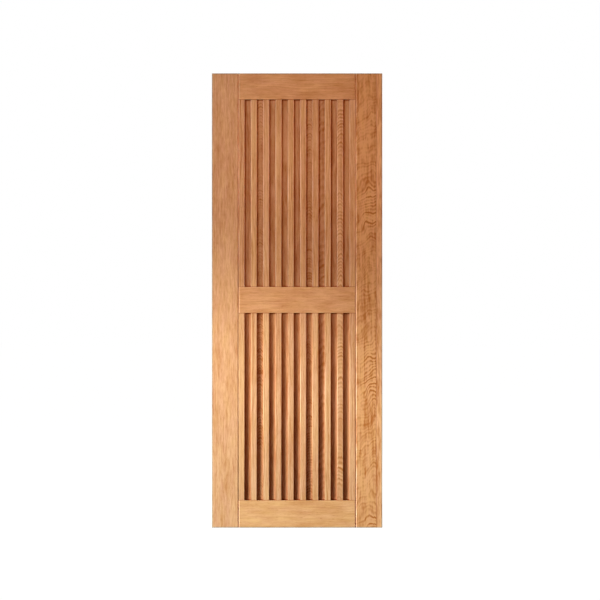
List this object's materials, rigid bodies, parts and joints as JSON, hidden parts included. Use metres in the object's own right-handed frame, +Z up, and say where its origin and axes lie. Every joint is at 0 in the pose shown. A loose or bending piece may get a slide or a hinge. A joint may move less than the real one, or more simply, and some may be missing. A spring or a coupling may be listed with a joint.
{
  "type": "slatted wooden barn door",
  "caption": "Framed barn door slab of solid wood: stiles and rails around panels of upright slats with sunk strips between them. It hangs from its top edge on sliding-door hangers.",
  "frame": {"origin": "middle of the top edge, on the top rail, halfway through the thickness", "axes": "+Z up, +X to the right as the front is seen, -Y out of the front face"},
  "size_m": [0.762, 0.035, 2.032],
  "materials": {
    "stile_wood": "clear satin",
    "rail_wood": "clear satin",
    "slat_wood": "clear satin",
    "infill_wood": "clear satin"
  },
  "bodies": {
    "root": {"left_stile": "stile_wood", "right_stile": "stile_wood", "top_rail": "rail_wood", "middle_rail": "rail_wood", "bottom_rail": "rail_wood", "upper_slat_01": "slat_wood", "upper_slat_02": "slat_wood", "upper_slat_03": "slat_wood", "upper_slat_04": "slat_wood", "upper_slat_05": "slat_wood", "upper_slat_06": "slat_wood", "upper_slat_07": "slat_wood", "upper_slat_08": "slat_wood", "upper_slat_09": "slat_wood", "upper_slat_10": "slat_wood", "upper_infill_01": "infill_wood", "upper_infill_02": "infill_wood", "upper_infill_03": "infill_wood", "upper_infill_04": "infill_wood", "upper_infill_05": "infill_wood", "upper_infill_06": "infill_wood", "upper_infill_07": "infill_wood", "upper_infill_08": "infill_wood", "upper_infill_09": "infill_wood", "lower_slat_01": "slat_wood", "lower_slat_02": "slat_wood", "lower_slat_03": "slat_wood", "lower_slat_04": "slat_wood", "lower_slat_05": "slat_wood", "lower_slat_06": "slat_wood", "lower_slat_07": "slat_wood", "lower_slat_08": "slat_wood", "lower_slat_09": "slat_wood", "lower_slat_10": "slat_wood", "lower_infill_01": "infill_wood", "lower_infill_02": "infill_wood", "lower_infill_03": "infill_wood", "lower_infill_04": "infill_wood", "lower_infill_05": "infill_wood", "lower_infill_06": "infill_wood", "lower_infill_07": "infill_wood", "lower_infill_08": "infill_wood", "lower_infill_09": "infill_wood"}
  },
  "joints": []
}
